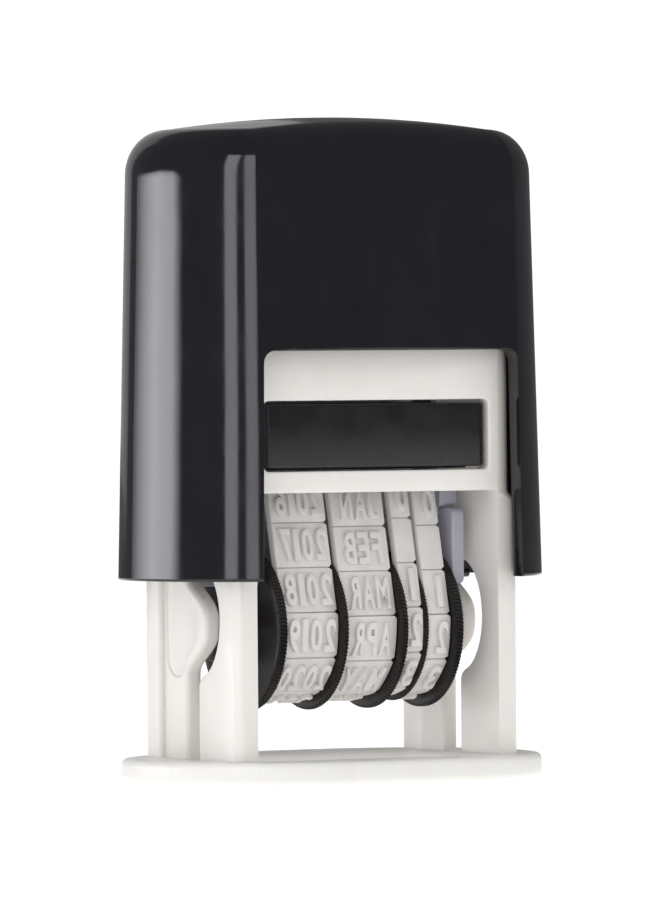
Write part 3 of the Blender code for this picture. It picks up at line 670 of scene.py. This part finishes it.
PIVOT_Z = 21.4 * MM
AXLE_Z = 13.43 * MM
FOLLOWER_Z = PIVOT_Z - 3.35 * MM
FOLLOWER_RADIUS = 0.38 * MM
CHEEK_X = (9.95 * MM, 11.2 * MM)
CHEEK_HALF_Y = 4.5 * MM
CHEEK_Z = (17.2 * MM, 24.0 * MM)
BEARING_Z = (10.55 * MM, 17.18 * MM)
BEARING_HALF_Y = (3.9 * MM, 2.9 * MM)
BORE_RADIUS = 1.06 * MM
PIVOT_HOLE_RADIUS = 1.56 * MM
BOSS_RADIUS = 1.9 * MM
ANVIL_HALF = (9.85 * MM, 2.45 * MM)
ANVIL_BED_TOP_Z = 25.8 * MM
FLANGE_IN_X = 9.45 * MM
FLANGE_LOW_Z = 24.1 * MM


def build_cheek(side, node, mats):
    """Grey plate on the pivot, with a black follower pin pressed into it."""
    outline = rounded_rectangle((-CHEEK_HALF_Y, CHEEK_Z[0]), (CHEEK_HALF_Y, CHEEK_Z[1]), 0.6 * MM)
    pivot = arc((0, PIVOT_Z), PIVOT_HOLE_RADIUS, 0, 350, 35)
    socket = arc((0, FOLLOWER_Z), FOLLOWER_RADIUS + 0.02 * MM, 0, 350, 35)
    xs = sorted((side * CHEEK_X[0], side * CHEEK_X[1]))
    cheek = plate(node + "_plate", [outline, pivot, socket], "YZ", xs[0], xs[1], 0.16 * MM, 3)
    finish(cheek, mats["grey_plastic"], "carrier", [node])
    low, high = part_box(node)
    pin_x = sorted((side * CHEEK_X[0], low.x if side < 0 else high.x))
    circle = arc((0, FOLLOWER_Z), FOLLOWER_RADIUS, 0, 350, 35)
    pin = plate(node + "_follower", [circle], "YZ", pin_x[0], pin_x[1], 0.1 * MM)
    return finish(pin, mats["satin_black_plastic"], "carrier", [node])


def build_bearing(side, node, mats):
    """Black plate round the axle with a flat foot and a raised boss."""
    corner = 0.6 * MM
    shoulder, foot = BEARING_HALF_Y
    low = BEARING_Z[0] + corner
    neck_z = BEARING_Z[1] - (shoulder - foot)
    outline = [(shoulder, BEARING_Z[1]), (-shoulder, BEARING_Z[1]), (-foot, neck_z)]
    outline += arc((-foot + corner, low), corner, 180, 270, 6)
    outline += arc((foot - corner, low), corner, 270, 360, 6)
    outline += [(foot, neck_z)]
    bore = arc((0, AXLE_Z), BORE_RADIUS, 0, 350, 35)
    xs = sorted((side * CHEEK_X[0], side * (CHEEK_X[1] - 0.1 * MM)))
    bearing = plate(node + "_plate", [outline, bore], "YZ", xs[0], xs[1], 0.14 * MM, 3)
    boss_x = sorted((side * (CHEEK_X[0] + 0.2 * MM), side * CHEEK_X[1]))
    rim = arc((0, AXLE_Z), BOSS_RADIUS, 0, 354, 59)
    boss = plate("boss", [rim, bore], "YZ", boss_x[0], boss_x[1], 0.08 * MM)
    combine(bearing, [boss], "UNION")
    return finish(bearing, mats["satin_black_plastic"], "carrier", [node])


def build_anvil(mats):
    low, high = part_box("anvil")
    bed = rounded_rectangle((-ANVIL_HALF[1], low.z), (ANVIL_HALF[1], ANVIL_BED_TOP_Z), 0.5 * MM)
    anvil = plate("anvil_bed", [bed], "YZ", -ANVIL_HALF[0], ANVIL_HALF[0], 0.12 * MM)
    ends = []
    for side in (-1, 1):
        xs = sorted((side * FLANGE_IN_X, side * high.x))
        loop = rounded_rectangle((low.y, FLANGE_LOW_Z), (high.y, high.z), 0.45 * MM)
        ends.append(plate(f"flange_{side}", [loop], "YZ", xs[0], xs[1], 0.15 * MM))
    combine(anvil, ends, "UNION")
    return finish(anvil, mats["grey_plastic"], "carrier", ["anvil"])


# ---------------------------------------------------------------- wheels

DISC_RADIUS = 7.3 * MM
THIN_DISC_RADIUS = 6.7 * MM
DRUM_RADIUS = 5.2 * MM
END_DISC_X = (-9.36 * MM, -8.51 * MM)
DIALS = (
    ("year", (-8.45 * MM, -2.86 * MM), (-2.80 * MM, -2.27 * MM), DISC_RADIUS),
    ("month", (-2.21 * MM, 3.14 * MM), (3.20 * MM, 3.85 * MM), DISC_RADIUS),
    ("tens", (3.91 * MM, 5.89 * MM), (5.95 * MM, 6.30 * MM), THIN_DISC_RADIUS),
    ("units", (6.36 * MM, 8.69 * MM), (8.75 * MM, 9.54 * MM), DISC_RADIUS),
)
TEETH = 132
STEPS_PER_TOOTH = 6
TOOTH_DEPTH = 0.14 * MM


def tooth(i):
    """Depth below the tip at this step round the rim."""
    share = (i % STEPS_PER_TOOTH) / STEPS_PER_TOOTH
    return TOOTH_DEPTH * (0.5 - 0.5 * math.cos(TAU * share)) ** 0.8


def disc_profile(xs, radius, inner):
    """Knurled disc from its rim to the inner radius, with a slim recess in each face."""
    thick = xs[1] - xs[0]
    edge = min(0.12 * MM, thick / 3)
    recess = min(0.1 * MM, thick / 6)
    rim = radius - 1.1 * MM
    step = 0.25 * MM
    groove = 0.32 * MM
    right = [
        (inner, xs[1] - recess, False), (rim - step, xs[1] - recess, False),
        (rim, xs[1], False), (radius - groove, xs[1], False),
        (radius - edge, xs[1] - edge * 0.3, True), (radius, xs[1] - edge, True),
    ]
    left = [
        (radius, xs[0] + edge, True), (radius - edge, xs[0] + edge * 0.3, True),
        (radius - groove, xs[0], False), (rim, xs[0], False),
        (rim - step, xs[0] + recess, False), (inner, xs[0] + recess, False),
    ]
    return right + left


def build_wheel(name, node, body, band_x, disc_x, radius, mats):
    profile = disc_profile(disc_x, radius, BORE_RADIUS)
    if band_x:
        profile = profile[:-1] + [
            (DRUM_RADIUS, disc_x[0] + 0.1 * MM, False), (DRUM_RADIUS, band_x[0] + 0.1 * MM, False),
            (DRUM_RADIUS - 0.1 * MM, band_x[0], False), (BORE_RADIUS, band_x[0], False),
        ]
    wheel = turned(name, profile, TEETH * STEPS_PER_TOOTH, tooth)
    wheel.data.transform(Matrix.Translation((0, 0, AXLE_Z)))
    return finish(wheel, mats["wheel_plastic"], body, [node], 40)


def build_wheels(mats):
    build_wheel("year_disc_left", "year_end_disc", "year_dial", None, END_DISC_X, DISC_RADIUS, mats)
    for name, band_x, disc_x, radius in DIALS:
        build_wheel(f"{name}_knurled_wheel", f"{name}_wheel", f"{name}_dial", band_x, disc_x, radius, mats)


# ---------------------------------------------------------------- date bands

BAND_RADIUS = 6.2 * MM
BAND_THICK = 0.9 * MM
BAND_TOP_Z = 26.8 * MM
TOP_CORNER = 1.0 * MM
TOP_HALF_Y = 3.48 * MM
ROWS = 13
GAP = 0.1 * MM
NOTCH = 0.21 * MM
TYPE_HEIGHT = 2.95 * MM
TYPE_SPACE = 0.24 * MM
TYPE_WEIGHT = 0.004
MAX_GLYPH = 1.16 * MM
GLYPH_WIDTHS = {"1": 0.52, "J": 0.8, "M": 1.15, "N": 1.05, "I": 0.4}
TYPE_MARGIN = 0.55 * MM
TYPE_RISE = 0.42 * MM
TYPE_ROOT = 0.06 * MM
TYPE_SHIFT = {"tens": 0.12 * MM, "units": 0.2 * MM}
WEB_DROP = 0.24 * MM
BLOCK_STIFFNESS = 0.5

YEARS = [str(2016 + i) for i in range(10)] + ["", "2014", "2015"]
MONTHS = ["JAN", "FEB", "MAR", "APR", "MAY", "JUN", "JUL", "AUG", "SEP", "OCT", "NOV", "DEC", ""]
TENS = ["0", "", "1", "2", "3", "", "1", "2", "3", "", "1", "2", "3"]
UNITS = ["0", "", "1", "2", "3", "4", "5", "6", "7", "8", "9", "", ""]
# the rows in order down the front, and how far down the band the first of them ends
BAND_ROWS = {
    "year": (YEARS, 7.03 * MM),
    "month": (MONTHS, 7.45 * MM),
    "tens": (TENS, 6.75 * MM),
    "units": (UNITS, 7.45 * MM),
}


class BandPath:
    """The band's outer base line in Y and Z, from the middle of the top down the front and round."""

    def __init__(self):
        corner = (TOP_HALF_Y - TOP_CORNER, BAND_TOP_Z - TOP_CORNER)
        rise = corner[1] - AXLE_Z
        span = math.hypot(corner[0], rise)
        self.lean = math.atan2(rise, corner[0]) - math.acos((BAND_RADIUS - TOP_CORNER) / span)
        self.corner = corner
        self.flat = corner[0]
        self.bend = (math.pi / 2 - self.lean) * TOP_CORNER
        self.run = math.sqrt(span ** 2 - (BAND_RADIUS - TOP_CORNER) ** 2)
        self.wheel = (math.pi / 2 + self.lean) * BAND_RADIUS
        self.length = 2 * (self.flat + self.bend + self.run + self.wheel)

    def at(self, s):
        """Position and outward normal at distance s."""
        s %= self.length
        if s > self.length / 2:
            (y, z), (ny, nz) = self.at(self.length - s)
            return (-y, z), (-ny, nz)
        if s <= self.flat:
            return (-s, BAND_TOP_Z), (0.0, 1.0)
        s -= self.flat
        if s <= self.bend:
            angle = math.pi / 2 + s / TOP_CORNER
            normal = (math.cos(angle), math.sin(angle))
            return (-self.corner[0] + TOP_CORNER * normal[0], self.corner[1] + TOP_CORNER * normal[1]), normal
        s -= self.bend
        normal = (-math.cos(self.lean), math.sin(self.lean))
        if s <= self.run:
            start = (-self.corner[0] + TOP_CORNER * normal[0], self.corner[1] + TOP_CORNER * normal[1])
            return (start[0] - math.sin(self.lean) * s, start[1] - math.cos(self.lean) * s), normal
        s -= self.run
        angle = math.pi - self.lean + s / BAND_RADIUS
        normal = (math.cos(angle), math.sin(angle))
        return (BAND_RADIUS * normal[0], AXLE_Z + BAND_RADIUS * normal[1]), normal

    def point(self, x, s, n, middle=None):
        """The point at x, distance s and height n; a block with a given middle stays partly flat."""
        (y, z), (ny, nz) = self.at(s)
        bent = Vector((x, y + ny * n, z + nz * n))
        if middle is None:
            return bent
        (my, mz), (mny, mnz) = self.at(middle)
        tangent = (-mnz, mny)
        flat_y = my + tangent[0] * (s - middle) + mny * n
        flat_z = mz + tangent[1] * (s - middle) + mnz * n
        return bent.lerp(Vector((x, flat_y, flat_z)), BLOCK_STIFFNESS)

    def stays_flat(self, middle, half):
        """False for blocks that bend round the small top corners."""
        low = self.flat + self.bend
        folded = min(middle % self.length, self.length - middle % self.length)
        return folded - half >= low - 0.2 * MM


def block(path, xs, middle, pitch, flat):
    """One pale block: rounded edges, a notch at each right corner and a skirt down to the web."""
    flat_middle = middle if flat else None
    half_s = (pitch - GAP) / 2
    left = (xs[1] - xs[0]) / 2
    mid_x = (xs[0] + xs[1]) / 2
    edge = 0.05 * MM
    low_n = -0.5 * MM
    outer = (1.0, 0.993, 0.98, 0.965, 0.95, 0.935, 0.92, 0.9)
    stations = [-s for s in outer] + [-0.6, -0.3, 0.0, 0.3, 0.6] + list(reversed(outer))
    rounding = (1.0, 0.92, 0.6, 0.25, 0.0)
    insets = (0.0, 0.06, 0.25, 0.6, 1.0)
    columns = [(-1, edge * i, edge * r) for i, r in zip(insets, rounding)]
    columns += [(0, share, 0.0) for share in (-0.5, 0.0, 0.5)]
    columns += [(1, edge * i, edge * r) for i, r in zip(reversed(insets), reversed(rounding))]
    rows = []
    for station in [-1.0] + stations + [1.0]:
        s = station * half_s
        to_boundary = half_s + GAP / 2 - abs(s)
        bite = math.sqrt(max(0.0, NOTCH ** 2 - to_boundary ** 2))
        to_end = half_s - abs(s)
        drop = edge * (1 - math.sqrt(max(0.0, 1 - (1 - min(1.0, to_end / edge)) ** 2)))
        rows.append((s, left - bite, drop))
    grid_rows = []
    for index, (s, right, drop) in enumerate(rows):
        skirt_row = index in (0, len(rows) - 1)
        line = []
        for kind, inset, fall in columns:
            if kind == 0:
                x = inset * left
                n = -drop
            else:
                x = right - inset if kind > 0 else inset - left
                n = -max(drop, fall)
            line.append((x, low_n if skirt_row else n))
        line = [(-left, low_n)] + line + [(right, low_n)]
        grid_rows.append([path.point(mid_x + x, middle + s, n, flat_middle) for x, n in line])
    return grid(grid_rows)


def web(path, xs):
    """The thin belt that joins the blocks."""
    steps = 160
    x0, x1 = xs[0] + 0.04 * MM, xs[1] - NOTCH - 0.04 * MM
    rings = []
    for i in range(steps + 1):
        s = path.length * i / steps
        rings.append([
            path.point(x0, s, -BAND_THICK), path.point(x0, s, -WEB_DROP),
            path.point(x1, s, -WEB_DROP), path.point(x1, s, -BAND_THICK), path.point(x0, s, -BAND_THICK),
        ])
    return grid(rings)


def glyph(text, size_x, size_y):
    """One raised character as (vertices, faces), filling size_x by size_y, with its height from 0 to 1."""
    curve = bpy.data.curves.new("type", "FONT")
    curve.body = text
    curve.size = 1.0
    curve.resolution_u = 3
    curve.extrude = 0.05
    curve.bevel_depth = 0.03
    curve.bevel_resolution = 1
    curve.offset = TYPE_WEIGHT
    obj = bake(new_object("type", curve))
    points = [v.co.copy() for v in obj.data.vertices]
    faces = [tuple(p.vertices) for p in obj.data.polygons]
    bpy.data.objects.remove(obj)
    low = [min(p[i] for p in points) for i in range(3)]
    high = [max(p[i] for p in points) for i in range(3)]
    spread = [p - q for p, q in zip(high, low)]
    out = []
    for p in points:
        share = [(p[i] - low[i]) / spread[i] for i in range(3)]
        out.append(((share[0] - 0.5) * size_x, (share[1] - 0.5) * size_y, share[2]))
    return out, faces


def type_mesh(text, width):
    """A row of raised characters, evenly spaced and at most width wide."""
    shares = [GLYPH_WIDTHS.get(c, 1.0) for c in text]
    space = TYPE_SPACE * (len(text) - 1)
    unit = min(MAX_GLYPH, (width - space) / sum(shares))
    vertices, faces = [], []
    x = -(unit * sum(shares) + space) / 2
    for character, share in zip(text, shares):
        points, glyph_faces = glyph(character, unit * share, TYPE_HEIGHT)
        start = len(vertices)
        vertices += [(px + x + unit * share / 2, py, n) for px, py, n in points]
        faces += [tuple(start + i for i in face) for face in glyph_faces]
        x += unit * share + TYPE_SPACE
    return vertices, faces


def build_band(name, xs, mats, path):
    texts, first = BAND_ROWS[name]
    pitch = path.length / ROWS
    parts = [web(path, xs)]
    for row, text in enumerate(texts):
        middle = first + (row - 0.5) * pitch
        flat = path.stays_flat(middle, pitch / 2)
        parts.append(block(path, xs, middle, pitch, flat))
        if not text:
            continue
        points, faces = type_mesh(text, xs[1] - xs[0] - TYPE_MARGIN)
        mid_x = (xs[0] + xs[1]) / 2 + TYPE_SHIFT.get(name, 0.0)
        placed = []
        for x, y, n in points:
            # mirrored left to right, so that it prints the right way round
            height = n * (TYPE_RISE + TYPE_ROOT) - TYPE_ROOT
            placed.append(path.point(mid_x - x, middle - y, height, middle if flat else None))
        parts.append((placed, faces))
    vertices, faces = [], []
    for points, part_faces in parts:
        start = len(vertices)
        vertices += points
        faces += [tuple(start + i for i in face) for face in part_faces]
    band = mesh_object(f"{name}_type_band", vertices, faces)
    return finish(band, mats["pale_rubber"], "carrier", [f"{name}_band"], 50)


def build_bands(mats):
    path = BandPath()
    for name, band_x, _disc_x, _radius in DIALS:
        build_band(name, band_x, mats, path)


# ---------------------------------------------------------------- return spring

SPRING_RADIUS = 4.3 * MM
SPRING_WIRE_RADIUS = 0.28 * MM
SPRING_TURNS = 6
SPRING_STEPS = 28
WIRE_STEPS = 10


def coil_rise(share):
    """Height share along the coil, nearly closed at both ends."""
    closed = 1.0 / SPRING_TURNS
    end_rise = 0.05
    if share < closed:
        return end_rise * share / closed
    if share > 1 - closed:
        return 1 - end_rise * (1 - share) / closed
    return end_rise + (1 - 2 * end_rise) * (share - closed) / (1 - 2 * closed)


def build_spring(mats):
    """Coil spring under the cap's roof."""
    low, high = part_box("return_spring")
    wire = SPRING_WIRE_RADIUS
    rise = high.z - low.z - 2 * wire
    rings = []
    for i in range(SPRING_TURNS * SPRING_STEPS + 1):
        turn = i / SPRING_STEPS
        z = low.z + wire + rise * coil_rise(turn / SPRING_TURNS)
        ring = []
        for j in range(WIRE_STEPS):
            around = TAU * j / WIRE_STEPS
            radius = SPRING_RADIUS + wire * math.cos(around)
            x, y = radius * math.cos(TAU * turn), radius * math.sin(TAU * turn)
            ring.append((x, y, z + wire * math.sin(around)))
        rings.append(ring)
    spring = loft("spring_coil", rings)
    finish(spring, mats["steel"], "frame", ["return_spring"])
    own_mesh(spring)


# ---------------------------------------------------------------- other nodes

KEPT = {
    "lift_yoke": "steel",
    "pivot_pin_left": "steel",
    "pivot_pin_right": "steel",
    "wheel_axle": "steel",
    "spacer_left": "steel",
    "spacer_right": "steel",
    "ink_pad": "inked_felt",
}


def dress_kept_nodes(mats):
    for node, slot in KEPT.items():
        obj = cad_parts[node]
        for material_slot in obj.material_slots:
            material_slot.link = "OBJECT"
            material_slot.material = mats[slot]


# ---------------------------------------------------------------- floor, light and camera

def look_at(obj, target):
    direction = Vector(target) - obj.location
    obj.rotation_mode = "QUATERNION"
    obj.rotation_quaternion = direction.to_track_quat("-Z", "Y")


AIM_Z = 30 * MM
SOFTBOX_LOW_Z = -0.03
SOFTBOX_TOPS_Z = (0.106, 0.112, 0.119, 0.127, 0.137, 0.148, 0.16, 0.172, 0.184, 0.196)
BACKGROUND_SEEN = 1.05
BACKGROUND_LIGHT = 0.72
BACKGROUND_MIRRORED = 0.12


def soft_light(name, start_deg, end_deg, distance, z, height, strength,
               diffuse=True, glossy=True, shadow=True):
    """A rectangular light that spans two bearings; strength is its radiance."""
    half = math.radians(end_deg - start_deg) / 2
    width = 2 * distance * math.tan(half)
    light = bpy.data.lights.new(name, "AREA")
    light.shape = "RECTANGLE"
    light.size = width
    light.size_y = height
    light.energy = strength * width * height * math.pi
    light.use_shadow = shadow
    if not diffuse:
        light.color = (0.97, 0.955, 1.0)
    obj = bpy.data.objects.new(name, light)
    bpy.context.scene.collection.objects.link(obj)
    angle = math.radians((start_deg + end_deg) / 2)
    obj.location = (distance * math.cos(angle), distance * math.sin(angle), z)
    look_at(obj, (0, 0, AIM_Z))
    obj.visible_camera = False
    obj.visible_diffuse = diffuse
    obj.visible_glossy = glossy
    return obj


def build_world():
    """White to look at, softer as a light and darker as a reflection."""
    world = bpy.data.worlds.new("studio")
    bpy.context.scene.world = world
    world.use_nodes = True
    tree = world.node_tree
    background = tree.nodes["Background"]
    rays = tree.nodes.new("ShaderNodeLightPath")
    seen = tree.nodes.new("ShaderNodeMix")
    seen.data_type = "FLOAT"
    mirrored = tree.nodes.new("ShaderNodeMix")
    mirrored.data_type = "FLOAT"
    mirrored.inputs[2].default_value = BACKGROUND_LIGHT
    mirrored.inputs[3].default_value = BACKGROUND_MIRRORED
    seen.inputs[3].default_value = BACKGROUND_SEEN
    tree.links.new(rays.outputs["Is Glossy Ray"], mirrored.inputs[0])
    tree.links.new(mirrored.outputs[0], seen.inputs[2])
    tree.links.new(rays.outputs["Is Camera Ray"], seen.inputs[0])
    tree.links.new(seen.outputs[0], background.inputs["Strength"])
    background.inputs["Color"].default_value = (1.0, 1.0, 1.0, 1.0)


def build_floor():
    half = 0.45
    corners = [(-half, -half, 0), (half, -half, 0), (half, half, 0), (-half, half, 0)]
    floor = mesh_object("floor", corners, [(0, 1, 2, 3)])
    surface = Surface("floor_paper")
    fibre = surface.noise(1.5 * MM, 4.0, 0.6)
    tone = surface.ranged(fibre, 0.3, 0.7, 0, 1)
    surface.colour(surface.mixed(tone, (0.97, 0.97, 0.97), (0.95, 0.95, 0.95)))
    surface.roughness(surface.ranged(fibre, 0.3, 0.7, 0.8, 0.95))
    surface.bump([(fibre, 0.01 * MM)])
    surface.set(Emission_Color=(1.0, 1.0, 1.0, 1.0), Emission_Strength=0.42)
    floor.data.materials.append(surface.mat)
    return floor


def build_lights():
    """Nested soft boxes on the left fade out at their sides and tops; two strips stand left of the camera."""
    for i, top in enumerate(SOFTBOX_TOPS_Z):
        share = i / (len(SOFTBOX_TOPS_Z) - 1)
        start, end = 112 + 32 * share ** 0.85, 171.5 - 10 * share
        middle_z, height = (SOFTBOX_LOW_Z + top) / 2, top - SOFTBOX_LOW_Z
        soft_light(f"softbox_{i}", start, end, 1.0 + 0.01 * i, middle_z, height, 0.78, diffuse=False)
    soft_light("strip_left", 210.0, 221.3, 1.1, 0.435, 0.93, 3.6, diffuse=False)
    soft_light("strip_front", 227.0, 239.0, 1.1, 0.435, 0.93, 2.9, diffuse=False)
    soft_light("backdrop", 60, 100, 1.3, 0.45, 0.9, 0.35, diffuse=False)
    soft_light("key_front_left", 200, 236, 0.9, 0.45, 0.6, 0.2, glossy=False)
    soft_light("fill_front_right", 284, 316, 0.9, 0.3, 0.5, 0.3, glossy=False)
    soft_light("top", 140, 260, 0.25, 0.9, 0.8, 0.6, glossy=False)
    soft_light("fill_left", 165, 205, 0.9, 0.2, 0.4, 1.2, glossy=False, shadow=False)


def build_camera():
    """Long lens a little above the crossbar, turned down and rolled slightly."""
    distance = 0.83
    bearing = math.radians(240)
    height = 37.4 * MM
    camera = bpy.data.cameras.new("camera")
    camera.lens = 372
    camera.sensor_width = 36
    camera.clip_start = 0.01
    camera.clip_end = 20
    obj = bpy.data.objects.new("camera", camera)
    bpy.context.scene.collection.objects.link(obj)
    obj.location = (distance * math.cos(bearing), distance * math.sin(bearing), height)
    aim = Euler((math.radians(90 - 0.563), 0, math.radians(-30))).to_matrix()
    roll = Matrix.Rotation(math.radians(-0.45), 3, "Z")
    obj.rotation_mode = "XYZ"
    obj.rotation_euler = (aim @ roll).to_euler("XYZ")
    bpy.context.scene.camera = obj
    bpy.context.scene.view_settings.view_transform = "Standard"


def main():
    mats = make_materials()
    build_foot(mats)
    build_frame(mats)
    build_cap(mats)
    build_tray(mats)
    build_cheek(-1, "cheek_left", mats)
    build_cheek(1, "cheek_right", mats)
    build_bearing(-1, "bearing_left", mats)
    build_bearing(1, "bearing_right", mats)
    build_anvil(mats)
    build_wheels(mats)
    build_bands(mats)
    build_spring(mats)
    dress_kept_nodes(mats)
    build_world()
    build_floor()
    build_lights()
    build_camera()


main()
